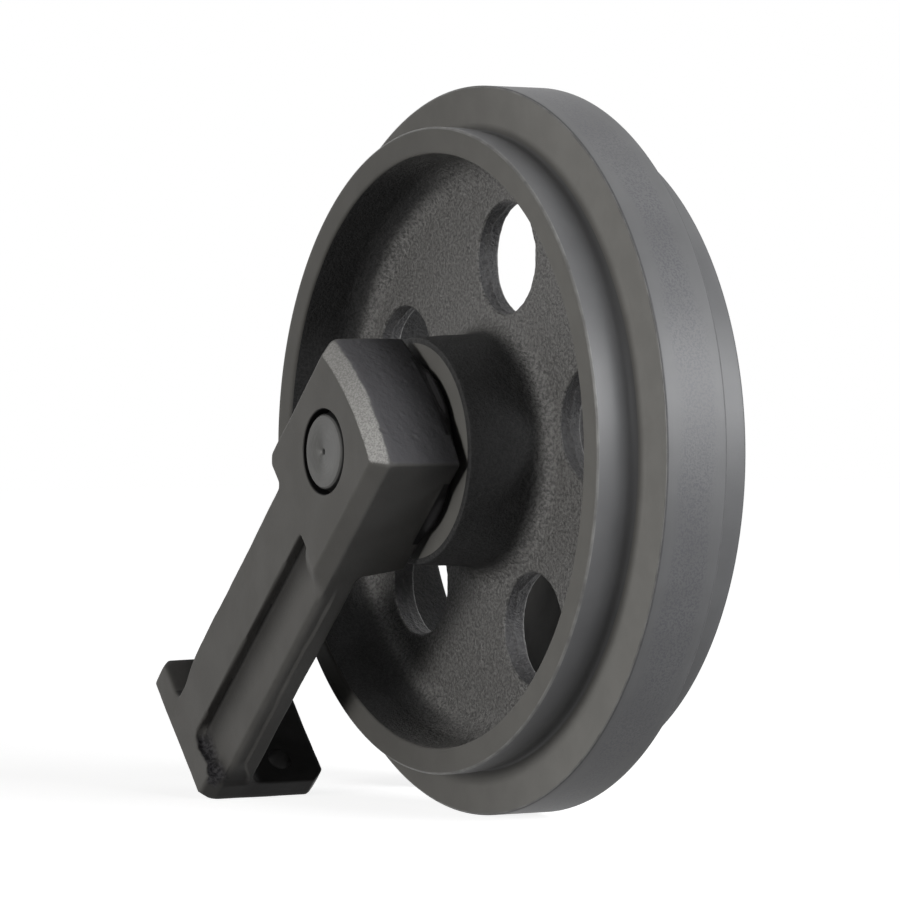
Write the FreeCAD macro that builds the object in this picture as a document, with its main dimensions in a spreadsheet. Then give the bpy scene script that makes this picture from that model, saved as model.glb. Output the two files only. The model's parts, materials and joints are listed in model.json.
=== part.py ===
"""Front idler of a small tracked excavator, as an assembly of its separate pieces.

Frame: millimetres, origin at the centre of the wheel, +Y along the wheel's axis (left side of
the machine), +X forward, +Z up. The two brackets run back and down to their feet, which stand
on the same floor as the wheel's flange.
"""
import FreeCAD, Part
import math
import os
import re

import Sketcher
from FreeCAD import Placement, Rotation, Vector

SIZES = {
    # cast wheel, radii and distances from its middle plane
    "flange_radius": 250.0,
    "flange_width": 46.2,
    "flange_root_round": 10.0,
    "flange_height": 29.2,
    "rim_half_width": 57.0,
    "rim_thickness": 18.0,
    "rim_flare": 4.0,
    "rim_root_round": 22.0,
    "rim_mouth_round": 3.0,
    "machined_chamfer": 1.5,
    "web_thickness": 17.0,
    "web_holes": 5,
    "web_hole_rim_land": 30.3,
    "web_hole_hub_land": 18.0,
    "web_hole_phase": 8.06,
    "hub_radius": 77.5,
    "hub_flare": 3.0,
    "hub_root_round": 15.0,
    "hub_face": 67.6,
    "oil_chamber_radius": 36.0,
    "oil_chamber_half": 18.0,
    # shaft
    "shaft_radius": 29.0,
    "shaft_sink": 0.1,
    "shaft_chamfer": 5.0,
    "centre_drill_radius": 2.6,
    "centre_drill_depth": 5.0,
    "oil_way_radius": 4.0,
    "oil_cross_radius": 3.0,
    "oring_to_pin": 16.0,
    "oring_groove_width": 4.6,
    "oring_groove_depth": 2.9,
    "oring_section": 1.45,
    # bushes
    "bush_wall": 4.0,
    "bush_flange_radius": 42.0,
    "bush_flange_thickness": 5.0,
    "running_clearance": 0.06,
    "press_clearance": 0.02,
    "thrust_gap": 0.4,
    # face seals: each half is a hard ring on a rubber toric
    "seal_housing": 51.0,
    "seal_depth": 17.0,
    "seal_gap": 0.1,
    "seal_ring_bore": 35.6,
    "seal_ring_barrel": 41.0,
    "seal_ring_lip": 46.2,
    "seal_lip_thickness": 3.4,
    "seal_ring_length": 11.7,
    "toric_section": 4.9,
    "toric_ease": 0.1,
    # bracket, heights across the arm and distances from the wheel's middle plane
    "arm_angle": 43.3,
    "bracket_half": 58.5,
    "face_out": 137.5,
    "face_gap": 3.9,
    "head_front": 58.5,
    "head_crown": 8.5,
    "head_rear": 62.0,
    "head_rear_taper": 5.5,
    "head_taper_land": 7.5,
    "head_root_round": 6.0,
    "boss_radius": 61.5,
    "boss_height": 3.0,
    "boss_back": 5.0,
    "nose_radius": 33.5,
    "bore_chamfer": 2.2,
    "edge_chamfer": 9.25,
    "arm_depth": 30.5,
    "arm_top": 25.5,
    "ledge_top": 18.0,
    "ledge_flare": 3.0,
    "ledge_head_land": 1.5,
    "ledge_foot_land": 0.7,
    "ledge_depth": 9.25,
    "ledge_round": 8.0,
    "ledge_corner": 9.0,
    "step_round": 4.5,
    "foot_reach": 306.9,
    "foot_thickness": 21.5,
    "foot_inner": 45.0,
    "foot_top_corner": 2.0,
    "foot_low_corner": 4.5,
    "foot_top_chamfer": 5.25,
    "foot_end_chamfer": 9.5,
    "foot_root_round": 10.0,
    "foot_notch_round": 2.5,
    "bolt_radius": 8.75,
    "bolt_line": 76.0,
    "bolt_spacing": 76.0,
    # lock pin down the bracket's head, beside the shaft's axis and through its rear flank
    "pin_radius": 6.0,
    "pin_bore": 3.4,
    "pin_slot": 1.6,
    "pin_inset": 21.5,
    "pin_offset": 25.0,
    "pin_reach": 32.0,
    "pin_sink": 3.0,
    # oil plug in the shaft's left end
    "plug_radius": 7.0,
    "plug_length": 12.0,
    "plug_head_radius": 11.0,
    "plug_head_thickness": 3.5,
    "plug_recess_radius": 11.6,
    "plug_hex": 6.0,
    "plug_hex_depth": 6.0,
    "washer_thickness": 1.5,
}

# what follows from the driving sizes, as formulas of their names
TREAD_RADIUS = "(flange_radius - flange_height)"
RIM_INNER = f"({TREAD_RADIUS} - rim_thickness)"
WEB_HOLE_OUT = f"({RIM_INNER} - web_hole_rim_land)"
WEB_HOLE_IN = "(hub_radius + web_hole_hub_land)"
FACE_IN = "(hub_face + face_gap)"
HEAD_IN = f"({FACE_IN} + boss_height)"
ARM_BACK = "(face_out - arm_depth)"
FOOT_FRONT = "(foot_reach - foot_thickness)"
SHAFT_END = "(face_out - shaft_sink)"
PIN_LINE = "(face_out - pin_inset)"
ORING_LINE = f"({PIN_LINE} - oring_to_pin)"

doc = FreeCAD.newDocument("front_idler")


def make_sheet():
    """The driving sizes, one row each, named by an alias."""
    sheet = doc.addObject("Spreadsheet::Sheet", "Sizes")
    for row, (name, value) in enumerate(SIZES.items(), 1):
        sheet.set(f"A{row}", name)
        sheet.set(f"B{row}", str(value))
        sheet.setAlias(f"B{row}", name)
    doc.recompute()


def linked(formula):
    """A formula of size names as an expression that reads the sheet."""
    def cell(match):
        word = match.group()
        return f"Sizes.{word}" if word in SIZES else word
    return re.sub(r"[a-z_]+", cell, formula)


def bind(thing, **formulas):
    """Bind properties to formulas; two underscores in a name stand for a dot."""
    for name, formula in formulas.items():
        thing.setExpression(name.replace("__", "."), linked(formula))


def new_body(label, angle=None):
    """An empty body, turned about the wheel's axis by a formula in degrees."""
    body = doc.addObject("PartDesign::Body", label)
    body.Label = label
    if angle:
        body.Placement = Placement(Vector(), Rotation(Vector(0, 1, 0), 1))
        bind(body, Placement__Rotation__Angle=angle)
    return body


def new_sketch(body, name, plane, offset=None):
    """A sketch on an origin plane of its body, moved along its normal by a formula."""
    sketch = body.newObject("Sketcher::SketchObject", name)
    support = next(f for f in body.Origin.OriginFeatures if f.Role == plane)
    sketch.AttachmentSupport = [(support, "")]
    sketch.MapMode = "FlatFace"
    if offset:
        bind(sketch, AttachmentOffset__Base__z=offset)
    return sketch


def value(formula):
    """The number that a formula of size names gives, worked out in a spare cell of the sheet."""
    doc.Sizes.set("D1", f"={formula}")
    doc.Sizes.recompute()
    return float(doc.Sizes.D1)


def pin_down(sketch, geometry, point, place, formulas):
    """Hold a point of the sketch, now at place, at the coordinates that two formulas give."""
    for kind, now, formula in zip(("DistanceX", "DistanceY"), place, formulas):
        held = sketch.addConstraint(Sketcher.Constraint(kind, -1, 1, geometry, point, now))
        sketch.setExpression(f"Constraints[{held}]", linked(formula))


def hold_radius(sketch, geometry, now, formula):
    held = sketch.addConstraint(Sketcher.Constraint("Radius", geometry, now))
    sketch.setExpression(f"Constraints[{held}]", linked(formula))


def arc_between(start, end, radius):
    """A shallow arc that bulges to the right of the way from start to end."""
    chord = end - start
    rise = radius - math.sqrt(radius ** 2 - (chord.Length / 2) ** 2)
    outward = Vector(chord.y, -chord.x, 0).normalize()
    return Part.Arc(start, (start + end) / 2 + outward * rise, end)


def outline(body, name, plane, corners, offset=None, crown=None):
    """A closed outline through corners, each a pair of formulas, counter-clockwise.

    With a crown, the first edge is an arc of that radius instead of a straight line.
    """
    sketch = new_sketch(body, name, plane, offset)
    count = len(corners)
    places = [Vector(value(x), value(y), 0) for x, y in corners]
    for i in range(count):
        start, end = places[i], places[(i + 1) % count]
        if crown and i == 0:
            sketch.addGeometry(arc_between(start, end, value(crown)), False)
        else:
            sketch.addGeometry(Part.LineSegment(start, end), False)
    for i in range(count):
        sketch.addConstraint(Sketcher.Constraint("Coincident", i, 2, (i + 1) % count, 1))
    for i, corner in enumerate(corners):
        pin_down(sketch, i, 1, (places[i].x, places[i].y), corner)
    if crown:
        hold_radius(sketch, 0, value(crown), crown)
    return sketch


def circles(body, name, plane, centres, radius, offset=None):
    """A sketch of equal circles, each centre a pair of formulas."""
    sketch = new_sketch(body, name, plane, offset)
    for i, centre in enumerate(centres):
        place = Vector(value(centre[0]), value(centre[1]), 0)
        sketch.addGeometry(Part.Circle(place, Vector(0, 0, 1), value(radius)), False)
        pin_down(sketch, i, 3, (place.x, place.y), centre)
        hold_radius(sketch, i, value(radius), radius)
    return sketch


def feature(body, kind, name, sketch=None, **formulas):
    """A feature of a body made from a sketch, with its sizes bound to formulas."""
    made = body.newObject(kind, name)
    if sketch is not None:
        made.Profile = sketch
        sketch.Visibility = False
    bind(made, **formulas)
    return made


def turned(body, kind, name, corners):
    """A profile of (radius, place along the axis) corners turned about the wheel's axis."""
    sketch = outline(body, f"{name}_profile", "XY_Plane", corners)
    made = feature(body, kind, name, sketch)
    made.ReferenceAxis = (sketch, ["V_Axis"])
    made.Angle = 360.0
    doc.recompute()
    return made


def both_sides(half):
    """A half profile from the inside out, closed by its mirror image on the other side."""
    other = [(radius, f"-({place})") for radius, place in reversed(half)]
    return half + other


def dress(body, kind, name, size, picked):
    """A fillet or chamfer of one size on the edges that picked accepts."""
    base = body.Tip
    names = [f"Edge{i}" for i, edge in enumerate(base.Shape.Edges, 1) if picked(edge)]
    if not names:
        raise RuntimeError(f"{name} finds no edge")
    made = body.newObject(kind, name)
    made.Base = (base, names)
    bind(made, **{"Radius" if kind.endswith("Fillet") else "Size": size})
    doc.recompute()
    return made


def near(value, wanted):
    return abs(value - wanted) < 1e-3


def ring_edge(radius, place):
    """Picks full circles about the axis with this radius at either side of the middle."""
    def picked(edge):
        curve = edge.Curve
        return (isinstance(curve, Part.Circle) and near(curve.Radius, radius)
                and near(abs(curve.Center.y), place) and math.hypot(curve.Center.x, curve.Center.z) < 1)
    return picked


def line_edge(**wanted):
    """Picks straight or arc edges whose end points all have these coordinates."""
    def picked(edge):
        ends = [vertex.Point for vertex in edge.Vertexes]
        return len(ends) == 2 and all(
            near(getattr(end, axis), value) for end in ends for axis, value in wanted.items())
    return picked


def make_wheel():
    """Cast wheel: hub, web with cored holes, rim with two treads and the centre flange."""
    body = new_body("idler_wheel", "-web_hole_phase")
    seat = "shaft_radius + running_clearance + bush_wall"
    half = [
        ("oil_chamber_radius", "oil_chamber_half"),
        (seat, "oil_chamber_half"),
        (seat, "hub_face - seal_depth"),
        ("seal_housing", "hub_face - seal_depth"),
        ("seal_housing", "hub_face"),
        ("hub_radius", "hub_face"),
        ("hub_radius + hub_flare", "web_thickness / 2"),
        (f"{RIM_INNER} - rim_flare", "web_thickness / 2"),
        (RIM_INNER, "rim_half_width"),
        (TREAD_RADIUS, "rim_half_width"),
        (TREAD_RADIUS, "flange_width / 2"),
        ("flange_radius", "flange_width / 2"),
    ]
    turned(body, "PartDesign::Revolution", "wheel_casting", both_sides(half))

    web = SIZES["web_thickness"] / 2
    rim, flange = SIZES["rim_half_width"], SIZES["flange_width"] / 2
    tread, rim_inner = value(TREAD_RADIUS), value(RIM_INNER)
    dress(body, "PartDesign::Fillet", "rim_root", "rim_root_round",
          ring_edge(rim_inner - SIZES["rim_flare"], web))
    dress(body, "PartDesign::Fillet", "hub_root", "hub_root_round",
          ring_edge(SIZES["hub_radius"] + SIZES["hub_flare"], web))
    dress(body, "PartDesign::Fillet", "flange_root", "flange_root_round", ring_edge(tread, flange))
    dress(body, "PartDesign::Fillet", "rim_mouth", "rim_mouth_round", ring_edge(rim_inner, rim))
    rim_edge = ring_edge(tread, rim)
    flange_edge = ring_edge(SIZES["flange_radius"], flange)
    dress(body, "PartDesign::Chamfer", "machined_edges", "machined_chamfer",
          lambda edge: rim_edge(edge) or flange_edge(edge))

    hole = circles(body, "web_hole_outline", "XZ_Plane",
                   [(f"({WEB_HOLE_OUT} + {WEB_HOLE_IN}) / 2", "0")],
                   f"({WEB_HOLE_OUT} - {WEB_HOLE_IN}) / 2", offset="web_thickness / 2 + 1")
    pocket = feature(body, "PartDesign::Pocket", "web_hole", hole, Length="web_thickness + 2")
    doc.recompute()
    ring = feature(body, "PartDesign::PolarPattern", "web_hole_ring", Occurrences="web_holes")
    ring.Originals = [pocket]
    ring.Axis = (hole, ["N_Axis"])
    ring.Angle = 360.0
    body.Tip = ring
    doc.recompute()
    return body


def make_bush():
    """Flanged bush pressed in the hub; its flange takes the thrust of the bracket's nose."""
    body = new_body("bushing_right")
    bore = "shaft_radius + running_clearance"
    back = f"{bore} + bush_wall - press_clearance"
    floor = "hub_face - seal_depth"
    turned(body, "PartDesign::Revolution", "bush", [
        (bore, f"-({floor} + bush_flange_thickness)"),
        ("bush_flange_radius", f"-({floor} + bush_flange_thickness)"),
        ("bush_flange_radius", f"-({floor})"),
        (back, f"-({floor})"),
        (back, "-(oil_chamber_half + press_clearance)"),
        (bore, "-(oil_chamber_half + press_clearance)"),
    ])
    return body


def make_shaft():
    """Fixed axle with ring grooves, lock pin notches, an oil way and a centre-drilled end."""
    body = new_body("shaft", "-arm_angle")
    groove = "shaft_radius - oring_groove_depth"
    half = [
        ("shaft_radius", f"{ORING_LINE} - oring_groove_width / 2"),
        (groove, f"{ORING_LINE} - oring_groove_width / 2"),
        (groove, f"{ORING_LINE} + oring_groove_width / 2"),
        ("shaft_radius", f"{ORING_LINE} + oring_groove_width / 2"),
        ("shaft_radius", f"{SHAFT_END} - shaft_chamfer"),
        ("shaft_radius - shaft_chamfer", SHAFT_END),
        ("0", SHAFT_END),
    ]
    turned(body, "PartDesign::Revolution", "axle", both_sides(half))

    recess = f"{SHAFT_END} - washer_thickness - plug_head_thickness"
    blind = f"{recess} - plug_length - 2"
    turned(body, "PartDesign::Groove", "oil_way", [
        ("0", f"{SHAFT_END} + 1"),
        ("0", "-2 * oil_cross_radius"),
        ("oil_way_radius", "-2 * oil_cross_radius"),
        ("oil_way_radius", blind),
        ("plug_radius", blind),
        ("plug_radius", recess),
        ("plug_recess_radius", recess),
        ("plug_recess_radius", f"{SHAFT_END} + 1"),
    ])
    pilot = "centre_drill_radius / 2"
    turned(body, "PartDesign::Groove", "centre_drill", [
        ("0", f"-({SHAFT_END} + 1)"),
        ("centre_drill_radius", f"-({SHAFT_END} + 1)"),
        ("centre_drill_radius", f"-{SHAFT_END}"),
        (pilot, f"-({SHAFT_END} - centre_drill_radius)"),
        (pilot, f"-({SHAFT_END} - centre_drill_depth)"),
        ("0", f"-({SHAFT_END} - centre_drill_depth)"),
    ])

    cross = circles(body, "oil_cross_outline", "XY_Plane", [("0", "0")], "oil_cross_radius",
                    offset="shaft_radius + 1")
    feature(body, "PartDesign::Pocket", "oil_cross", cross, Length="shaft_radius + 1")
    pins = circles(body, "pin_notch_outline", "XY_Plane",
                   [("-pin_offset", f"-{PIN_LINE}"), ("-pin_offset", PIN_LINE)],
                   "pin_radius", offset="shaft_radius + 1")
    feature(body, "PartDesign::Pocket", "pin_notches", pins, Length="2 * shaft_radius + 2")
    doc.recompute()
    return body


def make_bracket():
    """Forged bracket: head block with the shaft's seat, recessed arm and a foot plate."""
    body = new_body("bracket_right", "-arm_angle")
    low, high = "-bracket_half", "bracket_half"
    front = "head_front - head_crown"
    head = outline(body, "head_outline", "XZ_Plane",
                   [(front, low), (front, high), ("-head_rear", high), ("-head_rear", low)],
                   offset=HEAD_IN,
                   crown="(bracket_half * bracket_half + head_crown * head_crown) / (2 * head_crown)")
    feature(body, "PartDesign::Pad", "head", head, Length=f"face_out - {HEAD_IN}")
    doc.recompute()
    taper = dress(body, "PartDesign::Chamfer", "rear_taper", "head_rear_taper",
                  line_edge(x=-SIZES["head_rear"], y=-value(HEAD_IN)))
    taper.ChamferType = "Two distances"
    taper.FlipDirection = True
    bind(taper, Size2=f"{ARM_BACK} - {HEAD_IN} - head_taper_land")
    doc.recompute()

    foot_front = f"-{FOOT_FRONT}"
    arm = outline(body, "arm_outline", "XZ_Plane",
                  [("0", low), ("0", "arm_top"), (foot_front, "arm_top"), (foot_front, low)],
                  offset=ARM_BACK)
    feature(body, "PartDesign::Pad", "arm", arm, Length="arm_depth")
    doc.recompute()

    foot = outline(body, "foot_outline", "XZ_Plane",
                   [(foot_front, low), (foot_front, high),
                    ("-(foot_reach - foot_top_corner)", high),
                    ("-foot_reach", "bracket_half - foot_top_corner"),
                    ("-foot_reach", "-(bracket_half - foot_low_corner)"),
                    ("-(foot_reach - foot_low_corner)", low)],
                   offset="foot_inner")
    feature(body, "PartDesign::Pad", "foot", foot, Length="face_out - foot_inner")
    doc.recompute()

    outer, half = -SIZES["face_out"], SIZES["bracket_half"]
    foot_face = value(foot_front)
    top_edges = line_edge(y=outer, z=half)
    low_edges = line_edge(y=outer, z=-half)

    def on_foot(edge):
        return top_edges(edge) and edge.CenterOfMass.x < foot_face

    def outer_rim(edge):
        ends = [vertex.Point for vertex in edge.Vertexes]
        crown = isinstance(edge.Curve, Part.Circle) and all(near(end.y, outer) for end in ends)
        return low_edges(edge) or crown or (top_edges(edge) and not on_foot(edge))

    dress(body, "PartDesign::Chamfer", "outer_edges", "edge_chamfer", outer_rim)
    dress(body, "PartDesign::Chamfer", "foot_top", "foot_top_chamfer", on_foot)

    foot_end = line_edge(y=-SIZES["foot_inner"])
    dress(body, "PartDesign::Chamfer", "foot_end", "foot_end_chamfer",
          lambda edge: foot_end(edge) and near(abs(edge.CenterOfMass.z), half))

    ledge_front = "-(head_rear + ledge_head_land)"
    ledge_back = f"-({FOOT_FRONT} - ledge_foot_land)"
    ledge = outline(body, "ledge_outline", "XZ_Plane",
                    [(ledge_front, "-(bracket_half + 1)"), (ledge_front, "-ledge_top"),
                     (ledge_back, "-(ledge_top - ledge_flare)"),
                     (ledge_back, "-(bracket_half + 1)")],
                    offset="face_out")
    feature(body, "PartDesign::Pocket", "ledge", ledge, Length="ledge_depth")
    doc.recompute()
    dress(body, "PartDesign::Fillet", "ledge_end_corner", "ledge_corner",
          line_edge(x=value(ledge_back), z=value("-(ledge_top - ledge_flare)")))
    floor_edge = line_edge(y=outer + SIZES["ledge_depth"])
    dress(body, "PartDesign::Fillet", "ledge_fillets", "ledge_round",
          lambda edge: floor_edge(edge) and not near(edge.CenterOfMass.z, -half))

    arm_back = -value(ARM_BACK)
    dress(body, "PartDesign::Fillet", "foot_root", "foot_root_round",
          line_edge(x=foot_face, y=arm_back))
    dress(body, "PartDesign::Fillet", "foot_notch", "foot_notch_round",
          line_edge(x=foot_face, z=SIZES["arm_top"]))
    dress(body, "PartDesign::Fillet", "head_root", "head_root_round",
          line_edge(x=-SIZES["head_rear"], y=arm_back))
    dress(body, "PartDesign::Fillet", "head_step", "step_round",
          line_edge(x=-SIZES["head_rear"], z=SIZES["arm_top"]))

    nose_tip = "hub_face - seal_depth + bush_flange_thickness + thrust_gap"
    boss_end = f"-({HEAD_IN} + boss_back)"
    turned(body, "PartDesign::Revolution", "boss", [
        ("0", f"-({nose_tip})"), ("0", boss_end), ("boss_radius - boss_back", boss_end),
        ("boss_radius", f"-{HEAD_IN}"), ("boss_radius", f"-{FACE_IN}"),
        ("nose_radius", f"-{FACE_IN}"), ("nose_radius", f"-({nose_tip})"),
    ])
    turned(body, "PartDesign::Groove", "seal_pocket", [
        ("nose_radius", f"-({FACE_IN} + seal_depth)"),
        ("seal_housing", f"-({FACE_IN} + seal_depth)"),
        ("seal_housing", f"-({FACE_IN} - 1)"), ("nose_radius", f"-({FACE_IN} - 1)"),
    ])
    seat = "shaft_radius + press_clearance"
    turned(body, "PartDesign::Groove", "shaft_seat", [
        ("0", "-(face_out + 1)"),
        (f"{seat} + bore_chamfer", "-(face_out + 1)"),
        (f"{seat} + bore_chamfer", "-face_out"),
        (seat, "-(face_out - bore_chamfer)"),
        (seat, f"-({nose_tip} - 1)"),
        ("0", f"-({nose_tip} - 1)"),
    ])

    bolts = circles(body, "bolt_outline", "YZ_Plane",
                    [("-bolt_line", "-bolt_spacing / 2"), ("-bolt_line", "bolt_spacing / 2")],
                    "bolt_radius", offset=f"{foot_front} + 1")
    feature(body, "PartDesign::Pocket", "bolt_holes", bolts, Length="foot_thickness + 2")
    pin = circles(body, "pin_hole_outline", "XY_Plane", [("-pin_offset", f"-{PIN_LINE}")],
                  "pin_radius", offset="bracket_half + 1")
    feature(body, "PartDesign::Pocket", "pin_hole", pin, Length="bracket_half + pin_reach + 1")
    doc.recompute()
    return body


def make_seal_half(name, side):
    """A face seal's hard ring and rubber toric; side is 1 in the bracket, -1 in the hub."""
    face = f"(hub_face + {FACE_IN}) / 2 + {side} * seal_gap / 2"
    lip = f"{face} + {side} * seal_lip_thickness"
    back = f"{face} + {side} * seal_ring_length"
    ring = new_body(f"seal_ring_{name}_right")
    turned(ring, "PartDesign::Revolution", "ring", [
        ("seal_ring_bore", f"-({face})"), ("seal_ring_lip", f"-({face})"),
        ("seal_ring_lip", f"-({lip})"), ("seal_ring_barrel", f"-({lip})"),
        ("seal_ring_barrel", f"-({back})"), ("seal_ring_bore", f"-({back})"),
    ])
    toric = new_torus(f"seal_toric_{name}_right", "(seal_ring_barrel + seal_housing) / 2",
                      "toric_section", f"-({lip} + {side} * (toric_section + toric_ease))")
    return [ring, toric]


def new_torus(label, radius, section, place):
    """A round rubber ring about the wheel's axis."""
    torus = doc.addObject("Part::Torus", label)
    torus.Label = label
    torus.Placement = Placement(Vector(), Rotation(Vector(1, 0, 0), 90))
    bind(torus, Radius1=radius, Radius2=section, Placement__Base__y=place)
    return torus


def make_lock_pin():
    """Slotted spring pin driven down the bracket's head past the notch in the shaft."""
    body = new_body("lock_pin_right", "-arm_angle")
    centre = [("-pin_offset", f"-{PIN_LINE}")]
    bottom = "-(pin_reach - press_clearance)"
    length = "bracket_half + pin_reach - pin_sink"
    wall = circles(body, "pin_outline", "XY_Plane", centre, "pin_radius - press_clearance",
                   offset=bottom)
    feature(body, "PartDesign::Pad", "pin", wall, Length=length)
    doc.recompute()
    bore = circles(body, "bore_outline", "XY_Plane", centre, "pin_bore",
                   offset="bracket_half + 1")
    feature(body, "PartDesign::Pocket", "bore", bore, Length=f"{length} + 10")
    slot = outline(body, "slot_outline", "XY_Plane",
                   [("-pin_offset - 2 * pin_radius", f"-{PIN_LINE} - pin_slot / 2"),
                    ("-pin_offset", f"-{PIN_LINE} - pin_slot / 2"),
                    ("-pin_offset", f"-{PIN_LINE} + pin_slot / 2"),
                    ("-pin_offset - 2 * pin_radius", f"-{PIN_LINE} + pin_slot / 2")],
                   offset="bracket_half + 1")
    feature(body, "PartDesign::Pocket", "slot", slot, Length=f"{length} + 10")
    doc.recompute()
    return body


def make_oil_plug():
    """Socket plug that closes the oil way, and the soft washer under its head."""
    body = new_body("oil_plug")
    seat = f"{SHAFT_END} - plug_head_thickness"
    fit = "plug_radius - press_clearance"
    turned(body, "PartDesign::Revolution", "plug", [
        ("0", f"{seat} - plug_length"), (fit, f"{seat} - plug_length"), (fit, seat),
        ("plug_head_radius", seat), ("plug_head_radius", SHAFT_END), ("0", SHAFT_END),
    ])
    corner = "plug_hex / sqrt(3)"
    hexagon = [(f"{corner} * cos({60 * i} deg)", f"{corner} * sin({60 * i} deg)") for i in range(6)]
    socket = outline(body, "socket_outline", "XZ_Plane", hexagon, offset=f"-{SHAFT_END}")
    cut = feature(body, "PartDesign::Pocket", "socket", socket, Length="plug_hex_depth")
    cut.Reversed = True
    doc.recompute()

    washer = new_body("oil_plug_seal")
    turned(washer, "PartDesign::Revolution", "washer", [
        ("plug_radius + toric_ease", f"{seat} - washer_thickness"),
        ("plug_head_radius", f"{seat} - washer_thickness"),
        ("plug_head_radius", seat), ("plug_radius + toric_ease", seat),
    ])
    return [body, washer]


def mirrored(source):
    """The left-hand piece, the mirror image of a right-hand one."""
    twin = doc.addObject("Part::Mirroring", source.Label.replace("_right", "_left"))
    twin.Label = source.Label.replace("_right", "_left")
    twin.Source = source
    twin.Normal = Vector(0, 1, 0)
    return twin


def check(pieces):
    """Every object recomputed cleanly, and every piece one valid solid."""
    for item in doc.Objects:
        if "Invalid" in item.State or "Error" in item.State:
            raise RuntimeError(f"{item.Label} did not compute: {item.State}")
    for piece in pieces:
        shape = piece.Shape
        if shape.isNull() or not shape.isValid() or len(shape.Solids) != 1:
            raise RuntimeError(f"{piece.Label} is not one valid solid")


def main():
    make_sheet()
    right = [make_bush(), make_bracket(), make_lock_pin()]
    right += make_seal_half("fixed", 1)
    right += make_seal_half("rotating", -1)
    right.append(new_torus("shaft_oring_right",
                           "shaft_radius - oring_groove_depth + oring_section", "oring_section",
                           f"-{ORING_LINE}"))
    pieces = [make_wheel(), make_shaft()] + make_oil_plug() + right
    doc.recompute()
    pieces += [mirrored(piece) for piece in right]
    doc.recompute()
    check(pieces)
    os.makedirs("parts", exist_ok=True)
    for piece in pieces:
        piece.Shape.exportStep(f"parts/{piece.Label}.step")
        box = piece.Shape.BoundBox
        print(f"{piece.Label}: {piece.Shape.Volume / 1000:.1f} cm3, lowest {box.ZMin:.2f}")


main()
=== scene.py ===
"""The looks of a front idler: cast wheel, forged side brackets, shaft and seals.

Lengths below are in millimetres, as on the part's drawing, and become metres where a mesh is
made. The wheel's axis is Y through the origin, Z is up, and the brackets run back and down.
"""
import json
import math
from contextlib import contextmanager

import bmesh
import bpy
import numpy as np
from mathutils import Matrix, Vector, noise


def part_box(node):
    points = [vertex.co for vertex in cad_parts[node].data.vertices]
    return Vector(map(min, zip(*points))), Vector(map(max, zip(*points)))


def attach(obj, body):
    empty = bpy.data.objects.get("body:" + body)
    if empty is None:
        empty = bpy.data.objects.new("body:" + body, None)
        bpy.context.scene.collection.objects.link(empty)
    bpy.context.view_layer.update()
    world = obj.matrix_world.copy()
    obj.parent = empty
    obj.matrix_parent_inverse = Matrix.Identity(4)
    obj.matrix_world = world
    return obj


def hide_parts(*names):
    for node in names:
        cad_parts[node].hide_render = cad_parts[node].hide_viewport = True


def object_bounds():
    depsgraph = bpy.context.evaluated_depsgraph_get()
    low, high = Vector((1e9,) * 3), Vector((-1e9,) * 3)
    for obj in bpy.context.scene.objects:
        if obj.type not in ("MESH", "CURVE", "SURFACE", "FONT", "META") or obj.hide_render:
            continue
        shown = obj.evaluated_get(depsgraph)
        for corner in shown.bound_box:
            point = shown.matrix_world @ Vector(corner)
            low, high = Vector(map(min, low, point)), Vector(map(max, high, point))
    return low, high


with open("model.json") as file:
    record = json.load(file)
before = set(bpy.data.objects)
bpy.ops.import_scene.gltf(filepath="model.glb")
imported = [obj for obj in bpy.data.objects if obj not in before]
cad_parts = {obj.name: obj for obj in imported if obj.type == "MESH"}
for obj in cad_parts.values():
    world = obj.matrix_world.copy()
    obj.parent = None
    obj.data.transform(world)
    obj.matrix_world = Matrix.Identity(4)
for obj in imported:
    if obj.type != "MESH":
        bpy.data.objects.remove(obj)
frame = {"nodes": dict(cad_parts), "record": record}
CAD_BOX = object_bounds()

MM = 0.001

# the angle between faces from which an edge is sharp, and how near to each other vertices are
# that become one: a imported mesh's split ones, and those on the shared borders of drawn grids
SHARP_ANGLE = math.radians(32)
WELD = 0.001
MERGE = 0.02

# the photograph's view, its angles in degrees and its clip in metres
VIEW_AZIMUTH = 60.16
VIEW_ELEVATION = 0.78
VIEW_DISTANCE = 2944.5
VIEW_TARGET = Vector((-16.8, -29.3, 0.2))
VIEW_LENS = 170.82
VIEW_SENSOR = 36
VIEW_CLIP = 60

# softboxes: azimuth and elevation in degrees, distance, width and height in metres, watts and
# colour, the key a little warm and the one at the right a little cool
LAMPS = {
    "key": (8, 4, 3.2, 1.0, 1.0, 68, (1.0, 0.985, 0.96)),
    "right": (116, 17, 2.4, 1.9, 1.0, 85, (0.975, 0.985, 1.0)),
    "top": (180, 58, 2.4, 1.0, 1.0, 4, (1.0, 1.0, 1.0)),
}

# the floor: half its width in metres, its grey as the camera sees it and as it lights the
# object, and its glow, dimmer up to one distance from the middle and full from the other
FLOOR_HALF = 9.0
FLOOR_GREY = 0.5
FLOOR_BOUNCE = 0.08
FLOOR_GLOW = 0.86
FLOOR_SHADE = (0.9, 2.2)

# where a mottled colour is at its darkest and its lightest in the range of its noise
MOTTLE_STOPS = (0.35, 0.65)

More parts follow.
